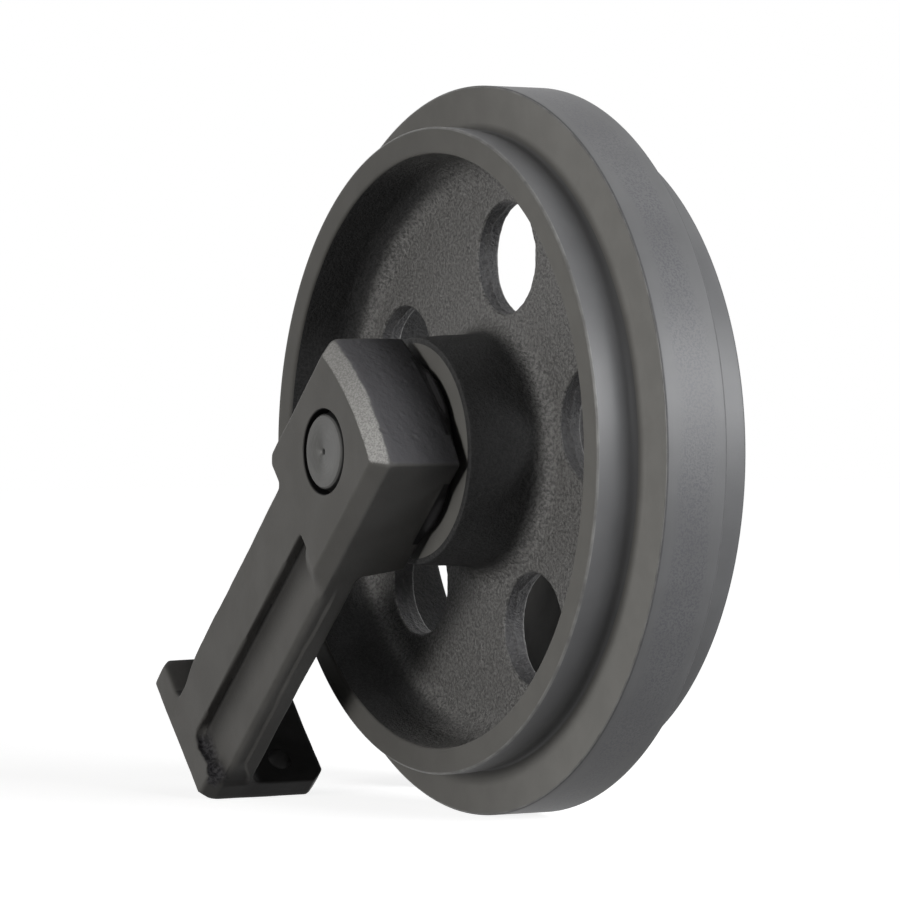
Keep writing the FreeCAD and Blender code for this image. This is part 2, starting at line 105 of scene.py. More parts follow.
# the cast wheel: radii from its axis and half widths from its middle plane
FLANGE_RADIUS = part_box("idler_wheel")[1].x / MM
RIM_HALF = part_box("idler_wheel")[1].y / MM - 10.6
FLANGE_HALF = 23.1
FLANGE_ROOT = 6.5
TREAD_RADIUS = 220.8
TREAD_RELIEF = 40.0
TREAD_ROOT = 216.5
RIM_INNER = 202.8
RIM_FLARE = 4.0
RIM_ROOT = 22.0
RIM_MOUTH = 2.0
EDGE_CHAMFER = 1.5
WEB_HALF = 8.5
HUB_RADIUS = 77.5
HUB_FLARE = 3.0
HUB_ROOT = 15.0
HUB_FACE = 67.6
SEAL_HOUSING = 51.0
SEAL_FLOOR = 50.6
BORE_RADIUS = 33.06
CHAMBER_RADIUS = 36.0
CHAMBER_HALF = 18.0
HOLES = 5
HOLE_CIRCLE = 134.0
HOLE_RADIUS = 38.5
HOLE_PHASE = math.radians(8.06)
HOLE_LIP = 1.6

# the wheel's mesh: its web is a ring of sectors, one round each hole
SECTOR_STEPS = 96
WEB_START = 88.0
WEB_STOP = 185.0
SIDE_STEPS = 40
WEB_LAYERS = 24
LIP_STEPS = 5
WALL_STEPS = 8
PROFILE_STEP = 2.6

# the wheel's finishes, in the order of its material slots: the fourth is a painted highlight on
# turned corners, the fifth painted shade on them, the sixth the holes' walls darkened as painted
# shade
MACHINED, CAST, RUNNING, HIGHLIGHT_EDGE, SHADED_EDGE, CORED = range(6)

# the forged bracket in the arm's own frame: a along the arm, b across it, y out from the wheel
ARM_ANGLE = math.radians(43.3)
FACE_OUT = -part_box("bracket_right")[0].y / MM
BRACKET_HALF = 58.5
HEAD_REAR = 62.0
EAR_CUT = 6.0
EDGE_DROP = 9.25
LEDGE_FLOOR = FACE_OUT - EDGE_DROP
LEDGE_HEAD = -63.5
LEDGE_FOOT = -284.7
LEDGE_TOP = -15.0
LEDGE_CORNER = 8.0
LEDGE_EDGE = 5.5
FOOT_FRONT = -285.4
FOOT_THICK = 21.5
NOTCH_LEVEL = 25.5
SHAFT_END = FACE_OUT - 0.1
SHAFT_NECK = 25.7
NECK_LENGTH = 10.0
NECK_BEVEL = 0.6
SEAT_RADIUS = 29.02
SEAT_CHAMFER = 0.7
NOSE_TIP = 56.0
NOSE_RADIUS = 33.5
POCKET_RADIUS = 51.0
POCKET_START = 71.5
POCKET_END = 88.5

# the hole of the lock pin (a, y, radius) and those of the bolts (b, y, radius), and how far the
# plugs that close them for the remesh reach into their walls
PIN_HOLE = (-25.0, -116.0, 6.0)
BOLT_HOLES = ((-38.0, -76.0, 8.75), (38.0, -76.0, 8.75))
PLUG_BITE = 1.5

# the forging's skin: its mesh size, where y is on the dies' parting line, the ragged foot end of
# the recess as places across (b) with how far it is off the straight line there
SKIN_SIZE = 1.1
FLASH_LINE = -119.0
RAGGED_PLACES = (-58.5, -50.4, -46.0, -41.8, -33.0, -26.4, -15.0)
RAGGED_STEPS = (3.0, -1.4, -0.6, 2.2, 1.0, 0.2, 0.0)

# nicks in the head's crowned front: place across (b), place out (y), radius and depth
NICKS = ((35, -108.6, 2.6, 0.5), (20.5, -104, 2.2, 0.5), (15, -101, 2.0, 0.6),
         (10, -95, 2.4, 0.8), (-38, -104.5, 2.6, 0.8))


def rounded_line(corners, step=PROFILE_STEP):
    """A line through corners (x, y, radius), with each corner rounded and each run divided."""
    points = []
    places = [Vector(corner[:2]) for corner in corners]
    last = len(corners) - 1
    for i, (*_, radius) in enumerate(corners):
        if radius == 0 or i in (0, last):
            points.append(places[i])
            continue
        before = (places[i - 1] - places[i]).normalized()
        after = (places[i + 1] - places[i]).normalized()
        half = before.angle(after) / 2
        centre = places[i] + (before + after).normalized() * radius / math.sin(half)
        reach = radius / math.tan(half)
        start = places[i] + before * reach - centre
        end = places[i] + after * reach - centre
        turn = start.angle_signed(end)
        count = max(4, round(abs(turn) * radius / step * 1.5))
        for k in range(count + 1):
            swing = Matrix.Rotation(-turn * k / count, 2)
            points.append(centre + swing @ start)
    divided = [points[0]]
    for start, end in zip(points, points[1:]):
        count = max(1, math.ceil((end - start).length / step))
        divided += [start.lerp(end, (k + 1) / count) for k in range(count)]
    return divided


@contextmanager
def editing(mesh):
    """A bmesh of the mesh, which goes back into it at the end."""
    work = bmesh.new()
    work.from_mesh(mesh)
    yield work
    work.to_mesh(mesh)
    work.free()


class Patches:
    """Grids of points that become one mesh once their shared borders are merged."""

    def __init__(self):
        self.points = []
        self.faces = []
        self.materials = []

    def grid(self, rows, material):
        """Quads between rows of points, with each row's end joined to its start."""
        start = len(self.points)
        width = len(rows[0])
        for row in rows:
            self.points += row
        for i in range(len(rows) - 1):
            for j in range(width):
                a = start + i * width + j
                b = start + i * width + (j + 1) % width
                self.faces.append((a, b, b + width, a + width))
                self.materials.append(material)

    def build(self, name):
        """The mesh made of all the grids, in millimetres, with its normals outward."""
        mesh = bpy.data.meshes.new(name)
        mesh.from_pydata([tuple(point) for point in self.points], [], self.faces)
        mesh.polygons.foreach_set("material_index", self.materials)
        with editing(mesh) as work:
            bmesh.ops.remove_doubles(work, verts=work.verts, dist=MERGE)
            bmesh.ops.recalc_face_normals(work, faces=work.faces)
        return mesh


def new_object(name, data):
    """A new object in the scene."""
    thing = bpy.data.objects.new(name, data)
    bpy.context.scene.collection.objects.link(thing)
    return thing


def shade_smooth(mesh):
    """Shades a mesh smooth between its sharp edges."""
    mesh.polygons.foreach_set("use_smooth", [True] * len(mesh.polygons))
    mesh.set_sharp_from_angle(angle=SHARP_ANGLE)


def coat(mesh, finish):
    """Gives the whole of a mesh one finish."""
    mesh.materials.clear()
    mesh.materials.append(finish)
    mesh.polygons.foreach_set("material_index", [0] * len(mesh.polygons))


def finished_object(name, mesh):
    """The object of a mesh drawn in millimetres."""
    mesh.transform(Matrix.Scale(MM, 4))
    shade_smooth(mesh)
    return new_object(name, mesh)


def displaced(mesh, push):
    """Moves each vertex along its normal by push(place), in millimetres."""
    moves = [push(vertex.co) for vertex in mesh.vertices]
    for vertex, normal, move in zip(mesh.vertices, mesh.vertex_normals, moves):
        if move:
            vertex.co += normal.vector * move


def ring(radius, place, count):
    """Points of a circle about the wheel's axis, starting between two holes."""
    points = []
    for k in range(count):
        angle = HOLE_PHASE + math.tau * (k / count - 0.5 / HOLES)
        points.append(Vector((radius * math.cos(angle), place, radius * math.sin(angle))))
    return points


def fillet_drop(reach, radius):
    """How far a fillet of this radius has risen at a distance past its start."""
    reach = max(reach, 0)
    return radius - math.sqrt(radius ** 2 - reach ** 2)


def web_face(radius):
    """Distance of the web's face from the middle plane, with the root fillets beside it."""
    hub_lean = math.atan2(HUB_FLARE, HUB_FACE - WEB_HALF)
    rim_lean = math.atan2(RIM_FLARE, RIM_HALF - WEB_HALF)
    hub_start = HUB_RADIUS + HUB_FLARE + HUB_ROOT / math.tan(math.pi / 4 + hub_lean / 2)
    rim_start = RIM_INNER - RIM_FLARE - RIM_ROOT / math.tan(math.pi / 4 + rim_lean / 2)
    return (WEB_HALF + fillet_drop(hub_start - radius, HUB_ROOT)
            + fillet_drop(radius - rim_start, RIM_ROOT))


def sector_border():
    """Points (radius, angle) round one sector of the web, with its hole at angle 0."""
    half = math.pi / HOLES
    border = []
    for k in range(SECTOR_STEPS):
        border.append((WEB_START, -half + 2 * half * k / SECTOR_STEPS))
    for k in range(SIDE_STEPS):
        border.append((WEB_START + (WEB_STOP - WEB_START) * k / SIDE_STEPS, half))
    for k in range(SECTOR_STEPS):
        border.append((WEB_STOP, half - 2 * half * k / SECTOR_STEPS))
    for k in range(SIDE_STEPS):
        border.append((WEB_STOP + (WEB_START - WEB_STOP) * k / SIDE_STEPS, -half))
    return border


def web_sector(patches, turn, side):
    """Half of the web round one hole, from the sector's border over the lip to mid wall."""
    border = [Vector((radius * math.cos(angle), radius * math.sin(angle)))
              for radius, angle in sector_border()]
    centre = Vector((HOLE_CIRCLE, 0))
    lip = [centre + (point - centre).normalized() * (HOLE_RADIUS + HOLE_LIP) for point in border]
    swing = Matrix.Rotation(-(HOLE_PHASE + turn), 3, "Y")

    def placed(point, height):
        return swing @ Vector((point.x, side * height, point.y))

    rows = []
    walls = []
    for k in range(WEB_LAYERS + 1):
        row = [outer.lerp(inner, k / WEB_LAYERS) for outer, inner in zip(border, lip)]
        rows.append([placed(point, web_face(point.length)) for point in row])
    for k in range(1, LIP_STEPS + 1):
        angle = math.pi / 2 * k / LIP_STEPS
        reach = HOLE_RADIUS + HOLE_LIP * (1 - math.sin(angle))
        sink = HOLE_LIP * (1 - math.cos(angle))
        row = [centre + (point - centre).normalized() * reach for point in border]
        rows.append([placed(point, web_face(point.length) - sink) for point in row])
    wall = [centre + (point - centre).normalized() * HOLE_RADIUS for point in border]
    for k in range(WALL_STEPS + 1):
        share = 1 - k / WALL_STEPS
        walls.append([placed(point, (web_face(point.length) - HOLE_LIP) * share)
                      for point in wall])
    patches.grid(rows, CAST)
    patches.grid(walls, CORED)


def lathe(patches, line, side, material):
    """Rings about the wheel's axis along a line of (radius, distance from the middle).

    The material is a number, or a function of the middle of each run and the side.
    """
    count = HOLES * SECTOR_STEPS
    rows = [ring(radius, side * place, count) for radius, place in line]
    if isinstance(material, int):
        patches.grid(rows, material)
        return
    for k in range(len(line) - 1):
        middle = (line[k] + line[k + 1]) / 2
        patches.grid(rows[k:k + 2], material(middle, side))


def outer_finish(middle, side):
    """Which finish the wheel's outside has at a place (radius, distance from the middle)."""
    # turned corners: on the near (-Y) side a painted highlight, with painted shade on the flange
    # edge's outer half; on the far side painted shade
    for radius, place in ((TREAD_RADIUS, RIM_HALF), (FLANGE_RADIUS, FLANGE_HALF)):
        inward, out = radius - middle.x, place - middle.y
        if math.hypot(inward, out) < EDGE_CHAMFER * 0.9:
            return SHADED_EDGE if side > 0 or radius == FLANGE_RADIUS and inward < out else HIGHLIGHT_EDGE
    tread = middle.x < TREAD_RADIUS + 1 and FLANGE_HALF + 3 < middle.y < RIM_HALF - 0.5
    return RUNNING if tread or middle.x > FLANGE_RADIUS - 0.5 else MACHINED


def hollow_finish(middle, _side):
    """Which finish the rim's hollow has: cast, with its mouth turned along with the face."""
    return MACHINED if middle.y > RIM_HALF - RIM_MOUTH else CAST


def make_wheel():
    """The cast wheel: rough hub, web and rim hollow, machined treads, flange and faces."""
    patches = Patches()
    for side in (-1, 1):
        for hole in range(HOLES):
            web_sector(patches, math.tau * hole / HOLES, side)

        hub = rounded_line([(WEB_STOP, WEB_HALF, 0), (HUB_RADIUS + HUB_FLARE, WEB_HALF, HUB_ROOT),
                            (HUB_RADIUS, HUB_FACE, 1.2), (HUB_RADIUS - 4, HUB_FACE, 0)])
        hub = [Vector((WEB_START, web_face(WEB_START)))] + [p for p in hub if p.x < WEB_START - 0.5]
        lathe(patches, hub, side, CAST)
        face = rounded_line([(HUB_RADIUS - 4, HUB_FACE, 0), (SEAL_HOUSING, HUB_FACE, 1),
                             (SEAL_HOUSING, SEAL_FLOOR, 0), (BORE_RADIUS, SEAL_FLOOR, 0),
                             (BORE_RADIUS, CHAMBER_HALF, 0), (CHAMBER_RADIUS, CHAMBER_HALF, 0),
                             (CHAMBER_RADIUS, 0, 0)], step=6)
        lathe(patches, face, side, MACHINED)

        rim = rounded_line([(WEB_START, WEB_HALF, 0), (RIM_INNER - RIM_FLARE, WEB_HALF, RIM_ROOT),
                            (RIM_INNER, RIM_HALF, RIM_MOUTH), (RIM_INNER + 4, RIM_HALF, 0)])
        rim = [Vector((WEB_STOP, web_face(WEB_STOP)))] + [p for p in rim if p.x > WEB_STOP + 0.5]
        lathe(patches, rim, side, hollow_finish)
        outer = rounded_line([(RIM_INNER + 4, RIM_HALF, 0), (TREAD_RADIUS, RIM_HALF, EDGE_CHAMFER),
                              (TREAD_RADIUS, TREAD_RELIEF, 40),
                              (TREAD_ROOT, FLANGE_HALF, FLANGE_ROOT),
                              (FLANGE_RADIUS, FLANGE_HALF, EDGE_CHAMFER), (FLANGE_RADIUS, 0, 0)],
                             step=4)
        lathe(patches, outer, side, outer_finish)

    mesh = patches.build("idler_wheel_casting")
    displaced(mesh, cast_skin)
    wheel = finished_object("idler_wheel_casting", mesh)
    # after the primers and the running steel come the corners' painted highlight and painted shade,
    # then the holes' walls darkened as painted shade
    for material in (machined_primer(), cast_primer(), running_steel(), edge_highlight_steel(),
                     plain_finish("edge_shadow", (0.05, 0.05, 0.052), 0.6), shaded_hole_wall()):
        mesh.materials.append(material)
    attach(wheel, "wheel")
    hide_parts("idler_wheel")


def cast_skin(place):
    """Waviness of the sand-cast surfaces, none on what is machined."""
    radius = math.hypot(place.x, place.z)
    inside = min(radius - HUB_RADIUS + 2, RIM_INNER + 1.5 - radius) / 3
    depth = (RIM_HALF - abs(place.y)) / 4 if radius > 150 else (HUB_FACE - abs(place.y)) / 3
    share = min(1, max(0, inside)) * min(1, max(0, depth))
    if share == 0:
        return 0
    swell = noise.noise(place / 26) * 0.5
    bumps = noise.noise(place / 9 + Vector((7, 3, 1))) * 0.3
    grit = noise.noise(place / 3.4 + Vector((2, 9, 4))) * 0.2
    return share * (swell + bumps + grit) + core_flash(place)


def core_flash(place):
    """The ragged seam round a hole's wall where the two halves of its core met."""
    angle = math.atan2(place.z, place.x) - HOLE_PHASE
    nearest = HOLE_PHASE + round(angle / math.tau * HOLES) * math.tau / HOLES
    x = place.x - HOLE_CIRCLE * math.cos(nearest)
    z = place.z - HOLE_CIRCLE * math.sin(nearest)
    if abs(math.hypot(x, z) - HOLE_RADIUS) > 1:
        return 0
    seam = noise.noise(Vector((x, 0, z)) / 14) * 3
    rough = 1 + noise.noise(Vector((x, 5, z)) / 4)
    return 0.6 * rough * math.exp(-((place.y - seam) / 1.1) ** 2)


def smooth_step(value, start, stop):
    """An array that rises smoothly from 0 at start to 1 at stop."""
    share = np.clip((value - start) / (stop - start), 0, 1)
    return share * share * (3 - 2 * share)


def lumps(points, size, seed):
    """Noise of about -0.5 to 0.5 at each point, with lumps of this size."""
    shift = Vector((seed, 2.7 * seed, 0.6 * seed))
    return np.array([noise.noise(Vector(point) / size + shift) for point in points.tolist()])


def read_points(mesh):
    """The places of a mesh's vertices, one a row."""
    points = np.empty(len(mesh.vertices) * 3)
    mesh.vertices.foreach_get("co", points)
    return points.reshape(-1, 3)


def read_normals(mesh):
    """The normals of a mesh's vertices, one a row."""
    normals = np.empty(len(mesh.vertices) * 3)
    mesh.vertex_normals.foreach_get("vector", normals)
    return normals.reshape(-1, 3)


def read_edges(mesh):
    """The numbers of the vertices at the starts and at the ends of a mesh's edges."""
    edges = np.empty(len(mesh.edges) * 2, dtype=np.int64)
    mesh.edges.foreach_get("vertices", edges)
    return edges[0::2], edges[1::2]


def write_points(mesh, points):
    """Puts a mesh's vertices at these places."""
    mesh.vertices.foreach_set("co", points.ravel())
    mesh.update()


def relaxed(mesh, weight, times):
    """Draws each vertex towards the middle of its neighbours, by its own weight."""
    points = read_points(mesh)
    first, second = read_edges(mesh)
    ends = np.concatenate([first, second])
    others = np.concatenate([second, first])
    count = np.bincount(ends, minlength=len(points))
    for _ in range(times):
        middle = np.stack([np.bincount(ends, points[others, k], len(points)) / count
                           for k in range(3)], axis=1)
        points = points + weight[:, None] * (middle - points)
    write_points(mesh, points)


def modified(mesh, kind, **settings):
    """The mesh after one modifier."""
    thing = new_object("made", mesh)
    modifier = thing.modifiers.new("made", kind)
    for name, value in settings.items():
        setattr(modifier, name, value)
    depsgraph = bpy.context.evaluated_depsgraph_get()
    result = bpy.data.meshes.new_from_object(thing.evaluated_get(depsgraph))
    bpy.data.objects.remove(thing)
    return result


def cut_out(mesh, tool):
    """The mesh without what it shares with the tool, another mesh."""
    cutter = new_object("cutter", tool)
    result = modified(mesh, "BOOLEAN", object=cutter, operation="DIFFERENCE", solver="MANIFOLD")
    bpy.data.objects.remove(cutter)
    return result


def packed_mesh(node, turn=0.0):
    """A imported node's mesh in millimetres, turned about Y, with its split vertices joined."""
    mesh = frame["nodes"][node].data.copy()
    mesh.transform(Matrix.Rotation(turn, 4, "Y") @ Matrix.Scale(1 / MM, 4))
    with editing(mesh) as work:
        bmesh.ops.remove_doubles(work, verts=work.verts, dist=WELD)
    return mesh


def add_plug(work, place, axis, radius, length):
    """A closed cylinder centred on a place, joined to the mesh."""
    turn = Vector((0, 0, 1)).rotation_difference(Vector(axis)).to_matrix().to_4x4()
    bmesh.ops.create_cone(work, cap_ends=True, segments=96, radius1=radius, radius2=radius,
                          depth=length, matrix=Matrix.Translation(place) @ turn)


def filled_bracket():
    """The right bracket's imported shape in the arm's frame, with its bores closed."""
    mesh = packed_mesh("bracket_right", ARM_ANGLE)
    with editing(mesh) as work:
        seat_middle = -(FACE_OUT + NOSE_TIP) / 2
        add_plug(work, (0, seat_middle, 0), (0, 1, 0), SEAT_RADIUS + 3, FACE_OUT - NOSE_TIP)
        pocket_middle = -(POCKET_START + POCKET_END) / 2 - 0.5
        pocket_length = POCKET_END - POCKET_START + 1
        add_plug(work, (0, pocket_middle, 0), (0, 1, 0), POCKET_RADIUS + 2, pocket_length)
        a, y, radius = PIN_HOLE
        add_plug(work, (a, y, 10), (0, 0, 1), radius + PLUG_BITE, 2 * BRACKET_HALF - 20)
        for b, y, radius in BOLT_HOLES:
            middle = (FOOT_FRONT - FOOT_THICK / 2, y, b)
            add_plug(work, middle, (1, 0, 0), radius + PLUG_BITE, FOOT_THICK)
    return mesh


def bore_cutter():
    """The seat of the shaft, the seal's pocket and the pin and bolt holes, as one cutter."""
    patches = Patches()
    lathe(patches, [(0, FACE_OUT + 2), (SEAT_RADIUS + SEAT_CHAMFER, FACE_OUT + 2),
                    (SEAT_RADIUS + SEAT_CHAMFER, FACE_OUT), (SEAT_RADIUS, FACE_OUT - SEAT_CHAMFER),
                    (SEAT_RADIUS, NOSE_TIP - 2), (0, NOSE_TIP - 2)], -1, 0)
    lathe(patches, [(NOSE_RADIUS, POCKET_END), (POCKET_RADIUS, POCKET_END),
                    (POCKET_RADIUS, POCKET_START - 2), (NOSE_RADIUS, POCKET_START - 2),
                    (NOSE_RADIUS, POCKET_END)], -1, 0)
    mesh = patches.build("bore_cutter")
    with editing(mesh) as work:
        a, y, radius = PIN_HOLE
        add_plug(work, (a, y, 15), (0, 0, 1), radius, 2 * BRACKET_HALF - 23)
        for b, y, radius in BOLT_HOLES:
            middle = (FOOT_FRONT - FOOT_THICK / 2, y, b)
            add_plug(work, middle, (1, 0, 0), radius, FOOT_THICK + 8.5)
    return mesh


def shape_ledge(points):
    """Shapes the recess: its head end, its inner corner, its outer edge and its foot end."""
    a, y, b = points.T.copy()

    # towards the head the floor rises to the outer face or its chamfer
    recess = (y < -LEDGE_FLOOR + 2) & (b < LEDGE_TOP) & (a < LEDGE_HEAD + 1.5)
    face = -FACE_OUT + np.maximum(0, -b - (BRACKET_HALF - EDGE_DROP))
    fade = smooth_step(a, LEDGE_HEAD - 26, LEDGE_HEAD) * smooth_step(b, -19, -34)
    near = recess & (a > LEDGE_HEAD - 30)
    y = np.where(near, y + (face - y) * fade, y)

    # the corner between the floor and the long wall
    wall = wall_line(a)
    root = LEDGE_CORNER
    inward, deep = b - wall + root, y + LEDGE_FLOOR + root
    corner = recess & (inward > 0) & (deep > 0) & (inward < root + 0.6)
    turn = np.maximum(inward, deep) / np.maximum(np.hypot(inward, deep), 0.01)
    push = np.where(corner, 1 / np.maximum(turn, 0.7), 1)
    inside = smooth_step(a, -278, -268) * smooth_step(a, LEDGE_HEAD + 1, LEDGE_HEAD - 3)
    push = 1 + (push - 1) * inside
    b = np.where(corner, wall - root + inward * push, b)
    y = np.where(corner, deep * push - LEDGE_FLOOR - root, y)

    # the floor's outer edge
    radius = LEDGE_EDGE
    across, out = b + BRACKET_HALF - radius, y + LEDGE_FLOOR - radius
    reach = np.hypot(across, out)
    edge = (across < 0) & (out < 0) & (a < LEDGE_HEAD - 14) & (a > LEDGE_FOOT + 2)
    pull = np.where(edge & (reach > radius), radius / np.maximum(reach, 0.01), 1)
    pull = 1 + (pull - 1) * smooth_step(a, LEDGE_HEAD - 14, LEDGE_HEAD - 30)
    b = np.where(edge, across * pull + radius - BRACKET_HALF, b)
    y = np.where(edge, out * pull + radius - LEDGE_FLOOR, y)

    # the wall at the foot end
    ragged = np.interp(b, RAGGED_PLACES, RAGGED_STEPS)
    rough = lumps(np.stack([b, b * 0, b * 0], axis=1), 3.6, 4) * 2.0
    share = smooth_step(np.abs(a - LEDGE_FOOT), 9, 1) * (b < LEDGE_TOP + 1)
    share = share * smooth_step(y, -LEDGE_FLOOR + 8, -LEDGE_FLOOR)
    a = a + (ragged + rough * smooth_step(b, -14, -24)) * share
    return np.stack([a, y, b], axis=1)


def wall_line(a):
    """Where the recess's long wall stands across the arm."""
    return LEDGE_TOP - 3 * (a - LEDGE_FOOT) / (LEDGE_HEAD - LEDGE_FOOT)


def painted_shade_share(points):
    """Painted shade: the recess, the notch, the foot, the head's back, the boss's cone and the
    seat.
    """
    a, y, b = points.T

    # painted shade on the recess's floor, darker towards its long wall
    floor = (a < LEDGE_HEAD + 2) & (a > LEDGE_FOOT - 4) & (b > -BRACKET_HALF + 8)
    floor = floor & (np.abs(y + LEDGE_FLOOR) < 2.5) & (b < wall_line(a) + 1.2)
    share = np.where(floor, smooth_step(wall_line(a) - b, 27, -2), 0) * 0.66

    # painted shade in the notch and about the foot
    notch = smooth_step(a, -244, -262) * (a > -287) * smooth_step(y, -FACE_OUT, -FACE_OUT + 3)
    share = np.maximum(share, notch * (b > 12) * (b < NOTCH_LEVEL + 3) * 0.85)
    share = np.maximum(share, foot_painted_shade(points))

    # painted shade on the back of the head, the cone round its inner boss and the shaft's seat
    share = np.maximum(share, smooth_step(y, -113, -78) * smooth_step(a, 10, 50) * 0.72)
    reach = np.hypot(a, b)
    share = np.where((reach > 50) & (reach < 66) & (y > -79.6), 1, share)
    return np.where(reach < SEAT_RADIUS + 0.2, 1, share)


def foot_painted_shade(points):
    """Painted shade about the foot: on the plate, more away from the outer face, and the arm's low
    end.
    """
    a, y, b = points.T
    plate = (a < FOOT_FRONT + 1.5) * smooth_step(y, -FACE_OUT + 1, -FACE_OUT + 36)
    arm = smooth_step(a, -264, -284) * smooth_step(b, -38, -50)
    return np.maximum(0.84 * plate, 0.68 * arm * smooth_step(y, -FACE_OUT, -FACE_OUT + 3))


def blunt_ear(points):
    """Takes the point off the head's upper rear corner."""
    a, y, b = points.T.copy()
    ahead = a + HEAD_REAR
    below = BRACKET_HALF - np.maximum(0, -y - LEDGE_FLOOR) - b
    near = (ahead > -3) & (ahead < 9) & (below > -3) & (below < 9)
    cut = np.where(near, np.maximum(0, EAR_CUT - ahead - below) / 2, 0)
    return np.stack([a + cut, y, b - cut], axis=1)


def shape_notch(points):
    """Dishes the arm's upper side where it meets the foot plate."""
    a, y, b = points.T.copy()
    along = smooth_step(a, -238, -272) * smooth_step(a, -291, -284)
    inward = 1 + 0.6 * smooth_step(y, -FACE_OUT, -FACE_OUT + 8)
    drop = 4.2 * along * inward * smooth_step(b, 4, NOTCH_LEVEL)
    b = b - np.where((a < -236) & (b < NOTCH_LEVEL + 1), drop, 0)
    return np.stack([a, y, b], axis=1)


def die_step(points):
    """The step where the two halves of the die met, along the arm's lower side to the foot."""
    a, y, b = points.T.copy()
    run = np.stack([a, a * 0, a * 0], axis=1)
    line = FLASH_LINE + lumps(run, 30, 6) * 1.2 + 9.5 * smooth_step(a, -260, -284)
    height = 1.3 + 0.9 * smooth_step(a, -262, -274) + lumps(run, 9, 2) * 0.4
    share = smooth_step(a, LEDGE_HEAD - 4, LEDGE_HEAD - 34) * smooth_step(a, -287.5, -284.5)
    share = share * smooth_step(b, -BRACKET_HALF + 5, -BRACKET_HALF + 1)
    b = b + height * share * smooth_step(y, line + 0.45, line - 0.45)
    return np.stack([a, y, b], axis=1)


def forge_skin(points, normals):
    """Heights of the forging's skin: waves, scale, dents and nicks."""
    a, y, b = points.T
    reach = np.hypot(a, b)
    plain = smooth_step(reach, 34, 44)
    plain = np.where(y > -80, smooth_step(reach, 62, 66), plain)
    strip, front = strip_share(points, normals), front_share(points, normals)
    height = lumps(points, 42, 1) * 0.5 + lumps(points, 13, 2) * 0.16 + lumps(points, 4, 3) * 0.05
    height += front * (lumps(points, 8, 5) * 0.2 + np.minimum(0, lumps(points, 5, 7) + 0.36) * 1.5)
    for across, place, radius, depth in NICKS:
        away = np.hypot(b - across, y - place)
        height -= front * depth * smooth_step(away, radius, 0)
    height += strip * lumps(points, 2.6, 8) * 0.12
    rough = ledge_scale(points)
    height += rough * (lumps(points, 3.0, 9) * 0.5 + lumps(points, 7.0, 11) * 0.6)
    return height * plain


def strip_share(points, normals):
    """The ground edge between the head's outer face and its front, bright as bare steel and as a
    painted highlight, brightest low down.
    """
    lean = normals @ np.array([math.sqrt(0.5), -math.sqrt(0.5), 0])
    a, y, b = points.T
    bright = 0.68 + 0.32 * smooth_step(b, 40, -45)
    return smooth_step(lean, 0.84, 0.95) * bright * (a > 38) * (y < -LEDGE_FLOOR + 3)


def front_share(points, normals):
    """1 on the head's crowned front."""
    return smooth_step(normals[:, 0], 0.85, 0.97) * (points[:, 0] > 44)


def ledge_scale(points):
    """1 on the torn wall at the recess's foot end, fading out on the floor before it."""
    a, y, b = points.T
    share = smooth_step(a, LEDGE_FOOT + 12, LEDGE_FOOT + 2)
    for value, start, stop in ((a, LEDGE_FOOT - 9, LEDGE_FOOT - 6),
                               (y, -FACE_OUT + 0.4, -FACE_OUT + 1.8),
                               (y, -LEDGE_FLOOR + 4, -LEDGE_FLOOR + 1), (b, -13, -20),
                               (b, -BRACKET_HALF + 1, -BRACKET_HALF + 5)):
        share = share * smooth_step(value, start, stop)
    return share


def add_shares(mesh):
    """Keeps where the forging's different surfaces are, and where shade is painted, for its
    material.
    """
    points, normals = read_points(mesh), read_normals(mesh)
    shares = {"strip": strip_share(points, normals), "front": front_share(points, normals),
              "scale": ledge_scale(points), "recess": painted_shade_share(points)}
    for name, share in shares.items():
        layer = mesh.attributes.new(name, "FLOAT", "POINT")
        layer.data.foreach_set("value", share.astype(np.float32))


def forged_bracket():
    """The right bracket's mesh in the arm's frame, in millimetres."""
    mesh = modified(filled_bracket(), "REMESH", mode="VOXEL", voxel_size=SKIN_SIZE)
    points = read_points(mesh)
    foot = 0.5 * smooth_step(points[:, 0], -296, -304)
    write_points(mesh, blunt_ear(shape_notch(shape_ledge(points))))

    # all edges get a little softer, those of the foot, the head's front and the notch more
    relaxed(mesh, np.full(len(points), 0.5), 3)
    points = read_points(mesh)
    a, y, b = points.T
    strip_edge = 0.5 * smooth_step(a, 46, 50) * smooth_step(np.abs(y + LEDGE_FLOOR), 5, 2)
    notch = 0.5 * smooth_step(b, 16, 21) * smooth_step(a, -262, -275) * smooth_step(a, -292, -288)
    relaxed(mesh, np.maximum(foot, np.maximum(strip_edge, notch)), 8)

    # the skin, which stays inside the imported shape's outer face
    points, normals = read_points(mesh), read_normals(mesh)
    points = die_step(points + normals * forge_skin(points, normals)[:, None])
    points[:, 1] = np.maximum(points[:, 1], -FACE_OUT)
    write_points(mesh, points)

    mesh = cut_out(mesh, bore_cutter())
    add_shares(mesh)
    return mesh


def make_shaft():
    """The axle, with a stepped and bevelled neck at each end inside the bracket's seat."""
    patches = Patches()
    outside = SEAT_RADIUS + 1
    for side in (-1, 1):
        lathe(patches, [(SHAFT_NECK, SHAFT_END - NECK_LENGTH), (outside, SHAFT_END - NECK_LENGTH),
                        (outside, SHAFT_END + 2), (SHAFT_NECK - NECK_BEVEL - 2, SHAFT_END + 2),
                        (SHAFT_NECK - NECK_BEVEL, SHAFT_END), (SHAFT_NECK, SHAFT_END - NECK_BEVEL),
                        (SHAFT_NECK, SHAFT_END - NECK_LENGTH)], side, 0)
    mesh = cut_out(packed_mesh("shaft"), patches.build("neck_cutter"))
    coat(mesh, shaft_steel())
    shaft = finished_object("turned_shaft", mesh)
    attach(shaft, "carrier")
    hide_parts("shaft")


